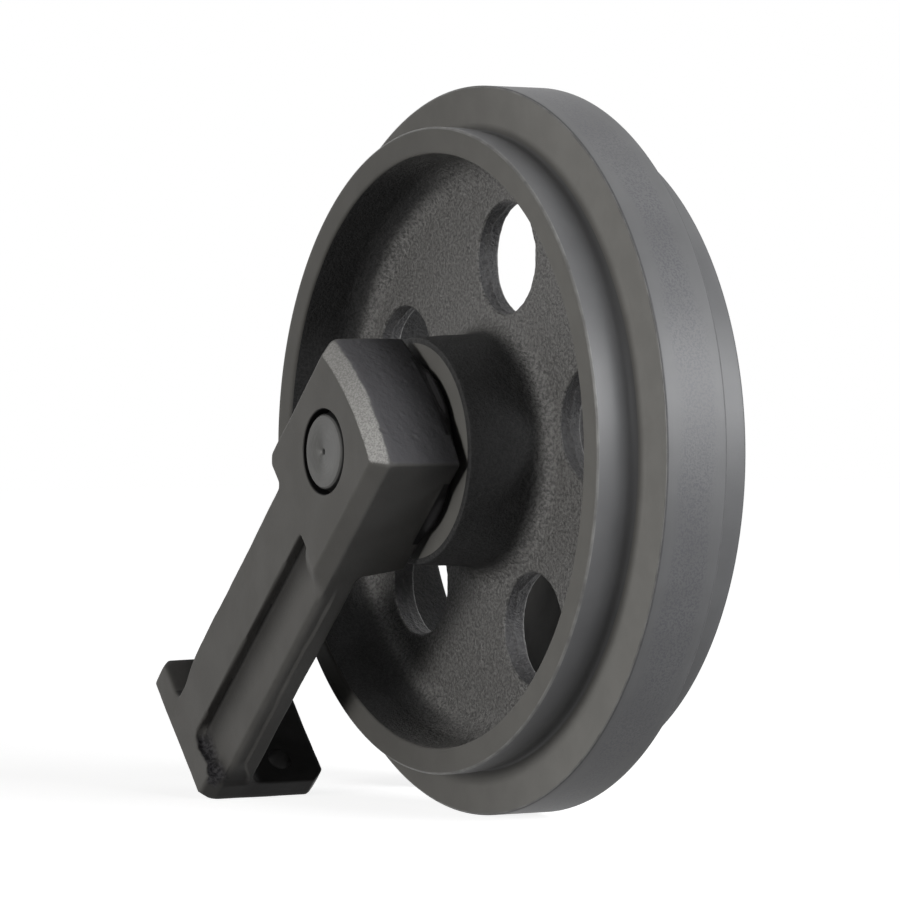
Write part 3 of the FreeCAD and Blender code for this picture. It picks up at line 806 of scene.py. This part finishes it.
def make_brackets():
    """Both forged brackets, one the mirror image of the other."""
    mesh = forged_bracket()
    coat(mesh, forged_primer())
    shade_smooth(mesh)
    keep_sharp_near_bores(mesh)
    mesh.transform(Matrix.Scale(MM, 4) @ Matrix.Rotation(-ARM_ANGLE, 4, "Y"))
    for side in ("right", "left"):
        made = mesh if side == "right" else mesh.copy()
        if side == "left":
            made.transform(Matrix.Scale(-1, 4, (0, 1, 0)))
            made.flip_normals()
        bracket = new_object(f"forged_bracket_{side}", made)
        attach(bracket, "carrier")
        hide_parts(f"bracket_{side}")


def keep_sharp_near_bores(mesh):
    """Leaves sharp edges only at the turned and drilled holes: a forging's own are soft."""
    points = read_points(mesh)
    a, y, b = points.T
    hole = (np.hypot(a, b) < POCKET_RADIUS + 0.3)
    hole &= (y < -FACE_OUT + 3) & (np.hypot(a, b) < NOSE_RADIUS) | (y > -POCKET_END - 1)
    for centre, place, radius in BOLT_HOLES:
        hole |= (np.hypot(b - centre, y - place) < radius + 0.3) & (a < FOOT_FRONT + 3)
    pin_a, pin_y, pin_radius = PIN_HOLE
    hole |= (np.hypot(a - pin_a, y - pin_y) < pin_radius + 0.3)
    sharp = np.empty(len(mesh.edges), dtype=bool)
    layer = mesh.attributes["sharp_edge"]
    layer.data.foreach_get("value", sharp)
    first, second = read_edges(mesh)
    layer.data.foreach_set("value", sharp & hole[first] & hole[second])


class Graph:
    """A node tree, with short ways to add nodes.

    A value or colour is given as a number, a tuple or another node's socket.
    """

    def __init__(self, tree):
        self.tree = tree

    def give(self, value, socket):
        """Sets an input to a number or colour, or links another node's output to it."""
        if isinstance(value, tuple):
            socket.default_value = (*value, 1)
        elif isinstance(value, (int, float)):
            socket.default_value = value
        else:
            self.tree.links.new(value, socket)

    def node(self, kind, values, **settings):
        """The outputs of a new node with these input values, by name or number, and settings."""
        made = self.tree.nodes.new(kind)
        for name, setting in settings.items():
            setattr(made, name, setting)
        for key, value in values.items():
            self.give(value, made.inputs[key])
        return made.outputs

    def maths(self, operation, *values):
        """The outcome of an operation on one or two values."""
        return self.node("ShaderNodeMath", dict(enumerate(values)), operation=operation)["Value"]

    def ranged(self, value, low, high, start=0.0, stop=1.0):
        """A value mapped smoothly and clamped from low..high to start..stop."""
        values = {"Value": value, "From Min": low, "From Max": high, "To Min": start,
                  "To Max": stop}
        return self.node("ShaderNodeMapRange", values, interpolation_type="SMOOTHSTEP")["Result"]

    def mixed(self, share, first, second):
        """A colour between two."""
        made = self.tree.nodes.new("ShaderNodeMix")
        made.data_type = "RGBA"
        self.give(share, made.inputs["Factor"])
        for name, colour in (("A", first), ("B", second)):
            self.give(colour, next(s for s in made.inputs if s.name == name and s.type == "RGBA"))
        return next(s for s in made.outputs if s.type == "RGBA")

    def blended(self, pattern, dark, light, low=0.3, high=0.7):
        """A colour that goes smoothly from dark to light with a pattern."""
        return self.mixed(self.ranged(pattern, low, high), dark, light)

    def multiplied(self, first, second):
        """The product of two colours."""
        values = {0: first, 1: second}
        return self.node("ShaderNodeVectorMath", values, operation="MULTIPLY")["Vector"]

    def kept(self, name):
        """A value that the mesh keeps for each vertex."""
        return self.node("ShaderNodeAttribute", {}, attribute_name=name)["Fac"]

    def place(self):
        """A point's object coordinates."""
        return self.node("ShaderNodeTexCoord", {})["Object"]

    def texture(self, scale, detail, roughness=0.5):
        """Noise on object coordinates, with scale in cycles per metre."""
        values = {"Vector": self.place(), "Scale": scale, "Detail": detail,
                  "Roughness": roughness}
        return self.node("ShaderNodeTexNoise", values)["Fac"]

    def wheel_place(self):
        """A point's distance from the wheel's axis, and its X, Y and Z."""
        axes = self.node("ShaderNodeSeparateXYZ", {"Vector": self.place()})
        squares = [self.maths("MULTIPLY", axes[name], axes[name]) for name in ("X", "Z")]
        return self.maths("SQRT", self.maths("ADD", *squares)), axes

    def turned_marks(self, across, along):
        """Noise drawn out round the wheel's axis, as a lathe's tool leaves it."""
        radius, axes = self.wheel_place()
        vector = {"Y": self.maths("MULTIPLY", self.maths("ADD", radius, axes["Y"]), across)}
        for name in ("X", "Z"):
            vector[name] = self.maths("MULTIPLY", self.maths("DIVIDE", axes[name], radius), along)
        place = self.node("ShaderNodeCombineXYZ", vector)["Vector"]
        return self.node("ShaderNodeTexNoise", {"Vector": place, "Scale": 1, "Detail": 3})["Fac"]

    def seen(self):
        """1 for the rays that show the background: the camera's, and gloss and glass."""
        path = self.node("ShaderNodeLightPath", {})
        share = self.maths("MAXIMUM", path["Is Camera Ray"], path["Is Glossy Ray"])
        return self.maths("MAXIMUM", share, path["Is Transmission Ray"])


class Finish(Graph):
    """The graph of a material with a Principled shader."""

    def __init__(self, name, colour, roughness, specular):
        self.material = bpy.data.materials.new(name)
        self.material.use_nodes = True
        super().__init__(self.material.node_tree)
        self.shader = self.tree.nodes["Principled BSDF"]
        self.relief = None
        self.put("Base Color", colour)
        self.put("Roughness", roughness)
        self.put("Specular IOR Level", specular)

    def put(self, name, value):
        """Gives one of the shader's inputs a value."""
        self.give(value, self.shader.inputs[name])

    def mottle(self, pattern, dark, light):
        """Lets the base colour go from dark to light with a pattern."""
        ramp = self.tree.nodes.new("ShaderNodeValToRGB")
        for element, stop, colour in zip(ramp.color_ramp.elements, MOTTLE_STOPS, (dark, light)):
            element.position = stop
            element.color = (*colour, 1)
        self.give(pattern, ramp.inputs["Fac"])
        self.put("Base Color", ramp.outputs["Color"])

    def bump(self, pattern, distance):
        """Adds relief of a pattern to what is there, its full height given in metres."""
        values = {"Height": pattern, "Distance": distance}
        if self.relief:
            values["Normal"] = self.relief
        self.relief = self.node("ShaderNodeBump", values)["Normal"]
        self.put("Normal", self.relief)


def machined_primer():
    """Thin matt grey primer over the turned faces, lighter on the flange, and lighter towards the
    front as painted light.
    """
    finish = Finish("machined_primer", (0.11, 0.108, 0.102), 0.55, 0.1)
    radius, axes = finish.wheel_place()
    # painted light: the faces lighter towards the front (+X)
    front = finish.ranged(axes["X"], -0.06, 0.16)
    rim = finish.mixed(front, (0.098, 0.096, 0.091), (0.138, 0.136, 0.129))
    flange = finish.mixed(front, (0.122, 0.12, 0.114), (0.196, 0.194, 0.186))
    outside = finish.ranged(radius, (TREAD_RADIUS - 2) * MM, (TREAD_RADIUS + 4) * MM)
    tint = finish.blended(finish.texture(45, 4), (0.95, 0.95, 0.95), (1.04, 1.04, 1.04))
    finish.put("Base Color", finish.multiplied(finish.mixed(outside, rim, flange), tint))
    finish.bump(finish.texture(900, 2), 0.00004)
    finish.bump(finish.turned_marks(1100, 8), 0.00004)
    return finish.material


def running_steel():
    """The treads and the flange's rim: turned steel under a thin coat, speckled in the middle."""
    finish = Finish("running_steel", (0.09, 0.09, 0.092), 0.47, 0.34)
    plain = finish.blended(finish.texture(30, 3), (0.086, 0.086, 0.088), (0.098, 0.098, 0.1))
    radius, axes = finish.wheel_place()
    rolled = finish.ranged(radius, (FLANGE_RADIUS - 1.6) * MM, (FLANGE_RADIUS - 0.8) * MM)
    border = finish.maths("MULTIPLY", finish.turned_marks(50, 4), 0.024)
    away = finish.maths("SUBTRACT", finish.maths("ABSOLUTE", axes["Y"]), border)
    band = finish.maths("MULTIPLY", rolled, finish.ranged(away, 0.007, -0.004))
    specks = finish.texture(700, 2, 0.6)
    speckle = finish.maths("MULTIPLY", band, finish.ranged(specks, 0.44, 0.62))
    finish.put("Base Color", finish.mixed(speckle, plain, (0.07, 0.07, 0.076)))
    finish.bump(finish.turned_marks(1400, 7), 0.00003)
    finish.bump(finish.maths("MULTIPLY", band, specks), 0.0001)
    return finish.material


def edge_highlight_steel():
    """The wheel's near-side turned corners, coloured bright as a painted highlight."""
    finish = Finish("edge_highlight_steel", (0.19, 0.19, 0.186), 0.45, 0.3)
    finish.mottle(finish.texture(80, 5), (0.1, 0.099, 0.097), (0.18, 0.179, 0.175))
    finish.bump(finish.texture(900, 2), 0.00006)
    return finish.material


def shaft_steel():
    """The shaft's turned steel, with fine rings on its end face and its neck behind it coloured
    near black as painted shade.
    """
    finish = Finish("shaft_steel", (0.095, 0.095, 0.093), 0.42, 0.3)
    plain = finish.blended(finish.texture(70, 3), (0.088, 0.088, 0.086), (0.106, 0.106, 0.103))
    rings = finish.turned_marks(800, 2)
    tone = finish.blended(rings, (0.084, 0.084, 0.082), plain, 0.35, 0.65)
    axes = finish.wheel_place()[1]
    away = finish.maths("ABSOLUTE", axes["Y"])
    # painted shade: near black on the neck behind the end face
    end = finish.ranged(away, (SHAFT_END - 1.4) * MM, (SHAFT_END - 0.8) * MM)
    finish.put("Base Color", finish.mixed(end, (0.012, 0.012, 0.012), tone))
    finish.bump(rings, 0.00012)
    return finish.material


def cast_primer():
    """The same primer over sand-cast iron: grainy, with painted shade on the hub and at the rear of
    the rim's hollow.
    """
    finish = Finish("cast_primer", (0.08, 0.08, 0.078), 0.4, 0.38)
    grain = finish.texture(480, 5, 0.65)
    grainy = finish.ranged(grain, 0.35, 0.65)
    light = finish.mixed(grainy, (0.044, 0.043, 0.042), (0.166, 0.164, 0.16))
    dark = finish.mixed(grainy, (0.002, 0.002, 0.0021), (0.018, 0.0178, 0.018))
    radius, axes = finish.wheel_place()
    # painted shade: near black and rougher on the hub and, towards the rear (-X), in the rim's
    # hollow
    hub = finish.ranged(radius, (HUB_RADIUS + 8.5) * MM, (HUB_RADIUS + 1.5) * MM)
    rim = finish.ranged(radius, (RIM_INNER - 15) * MM, (RIM_INNER - 6) * MM)
    rear = finish.ranged(axes["X"], 0, -0.09)
    painted_shade_mask = finish.maths("ADD", hub, finish.maths("MULTIPLY", rim, rear))
    finish.put("Base Color", finish.mixed(painted_shade_mask, light, dark))
    finish.put("Roughness", finish.ranged(painted_shade_mask, 0, 1, 0.34, 0.7))
    finish.bump(finish.texture(190, 3), 0.0007)
    finish.bump(grain, 0.0012)
    return finish.material


def shaded_hole_wall():
    """The wall that a sand core leaves in each hole, coloured dark as painted shade."""
    finish = Finish("shaded_hole_wall", (0.05, 0.049, 0.05), 0.5, 0.3)
    finish.mottle(finish.texture(260, 4), (0.04, 0.039, 0.041), (0.065, 0.064, 0.064))
    finish.bump(finish.texture(600, 3), 0.0012)
    return finish.material


def forged_primer():
    """Primer over the forged bracket, thin on its ground edge and scaly in the recess's end, with
    painted highlight, sheen and shade.
    """
    finish = Finish("forged_primer", (0.096, 0.094, 0.09), 0.5, 0.1)
    front, strip, scale = (finish.kept(name) for name in ("front", "strip", "scale"))
    tone = finish.blended(finish.texture(30, 5), (0.09, 0.088, 0.084), (0.103, 0.101, 0.097))
    # painted sheen: the head's crowned front lighter and a little bluer
    tone = finish.mixed(front, tone, (0.116, 0.114, 0.12))
    # painted shade, near black, in the recess, notch, foot, head's back, boss cone and seat
    tone = finish.mixed(finish.kept("recess"), tone, (0.011, 0.0105, 0.011))
    grain = finish.texture(800, 3, 0.7)
    # the ground edge: bare steel whose lightness is partly a painted highlight, more low down
    ground = finish.blended(grain, (0.25, 0.247, 0.24), (0.42, 0.415, 0.403), 0.36, 0.62)
    tone = finish.mixed(strip, tone, ground)
    # the torn wall at the recess's foot end: flaky scale, its darkness partly painted shade
    flakes = finish.texture(380, 3)
    scaly = finish.blended(flakes, (0.012, 0.0115, 0.013), (0.045, 0.044, 0.047), 0.4, 0.62)
    finish.put("Base Color", finish.mixed(scale, tone, scaly))

    finish.bump(finish.texture(700, 3), 0.0001)
    finish.bump(finish.maths("MULTIPLY", grain, finish.maths("ADD", strip, scale)), 0.0006)
    finish.bump(finish.maths("MULTIPLY", finish.texture(240, 4), front), 0.0006)
    return finish.material


def plain_finish(name, colour, roughness, metallic=0.0):
    """A simple finish with slight clouding for a small or hidden piece."""
    finish = Finish(name, colour, roughness, 0.5)
    finish.put("Metallic", metallic)
    dark = [c * 0.85 for c in colour]
    light = [min(1, c * 1.15) for c in colour]
    finish.mottle(finish.texture(150, 4), dark, light)
    finish.bump(finish.texture(1400, 2), 0.00003)
    return finish.material


def finish_cad_nodes():
    """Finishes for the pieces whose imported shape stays."""
    finishes = {
        "plug_steel": plain_finish("plug_steel", (0.08, 0.08, 0.08), 0.35, 0.6),
        "soft_washer": plain_finish("soft_washer", (0.5, 0.49, 0.47), 0.4, 1.0),
        "bush_bronze": plain_finish("bush_bronze", (0.45, 0.3, 0.12), 0.35, 1.0),
        "spring_steel": plain_finish("spring_steel", (0.07, 0.07, 0.072), 0.35, 0.6),
        # the seal's iron coloured near black as painted shade in the gap between the hub and the
        # bracket
        "seal_iron": plain_finish("seal_iron", (0.03, 0.03, 0.03), 0.5, 0.4),
        "seal_rubber": plain_finish("seal_rubber", (0.015, 0.015, 0.015), 0.55),
    }
    for part in frame["record"]["subparts"]:
        node = frame["nodes"][part["node"]]
        finish = finishes.get(part["material_slot"])
        if finish:
            coat(node.data, finish)
            shade_smooth(node.data)


def direction(azimuth, elevation):
    """The unit vector from the object towards a view's azimuth and elevation in degrees."""
    a, e = math.radians(azimuth), math.radians(elevation)
    return Vector((math.sin(a) * math.cos(e), -math.cos(a) * math.cos(e), math.sin(e)))


def make_camera():
    """A long lens a little above the axle's height, as in the photograph."""
    data = bpy.data.cameras.new("camera")
    data.lens = VIEW_LENS
    data.sensor_width = VIEW_SENSOR
    data.clip_end = VIEW_CLIP
    camera = new_object("camera", data)
    back = direction(VIEW_AZIMUTH, VIEW_ELEVATION)
    camera.location = (VIEW_TARGET + back * VIEW_DISTANCE) * MM
    camera.rotation_euler = back.to_track_quat("Z", "Y").to_euler()
    bpy.context.scene.camera = camera


def make_lamps():
    """The softboxes, each turned to the middle of the object."""
    for name, (azimuth, elevation, distance, width, height, watts, colour) in LAMPS.items():
        data = bpy.data.lights.new(name, "AREA")
        data.shape = "RECTANGLE"
        data.size = width
        data.size_y = height
        data.energy = watts
        data.color = colour
        lamp = new_object(name, data)
        back = direction(azimuth, elevation)
        lamp.location = back * distance
        lamp.rotation_euler = back.to_track_quat("Z", "Y").to_euler()


def make_world():
    """A white surround that only the camera, gloss and glass see."""
    world = bpy.data.worlds.new("studio")
    bpy.context.scene.world = world
    world.use_nodes = True
    graph = Graph(world.node_tree)
    background = world.node_tree.nodes["Background"]
    graph.give((1, 1, 1), background.inputs["Color"])
    graph.give(graph.seen(), background.inputs["Strength"])


def make_floor():
    """A pale floor under the flange and the feet, which keeps a soft shadow near them."""
    corners = [(x * FLOOR_HALF, y * FLOOR_HALF, CAD_BOX[0].z)
               for x, y in ((-1, -1), (1, -1), (1, 1), (-1, 1))]
    mesh = bpy.data.meshes.new("floor")
    mesh.from_pydata(corners, [], [(0, 1, 2, 3)])
    floor = new_object("floor", mesh)
    finish = Finish("floor", (FLOOR_GREY,) * 3, 0.9, 0.0)
    path = finish.node("ShaderNodeLightPath", {})
    bounce = finish.mixed(path["Is Camera Ray"], (FLOOR_BOUNCE,) * 3, (FLOOR_GREY,) * 3)
    finish.put("Base Color", bounce)
    away = finish.node("ShaderNodeVectorMath", {0: finish.place()}, operation="LENGTH")["Value"]
    level = finish.ranged(away, *FLOOR_SHADE, FLOOR_GLOW, 1)
    strength = finish.maths("MULTIPLY", level, finish.seen())
    glow = finish.node("ShaderNodeEmission", {"Color": (1, 1, 1), "Strength": strength})
    layers = {0: finish.shader.outputs["BSDF"], 1: glow["Emission"]}
    total = finish.node("ShaderNodeAddShader", layers)
    finish.give(total["Shader"], finish.tree.nodes["Material Output"].inputs["Surface"])
    mesh.materials.append(finish.material)


bpy.context.scene.view_settings.view_transform = "Standard"
make_camera()
make_world()
make_lamps()
make_floor()
finish_cad_nodes()
make_wheel()
make_shaft()
make_brackets()
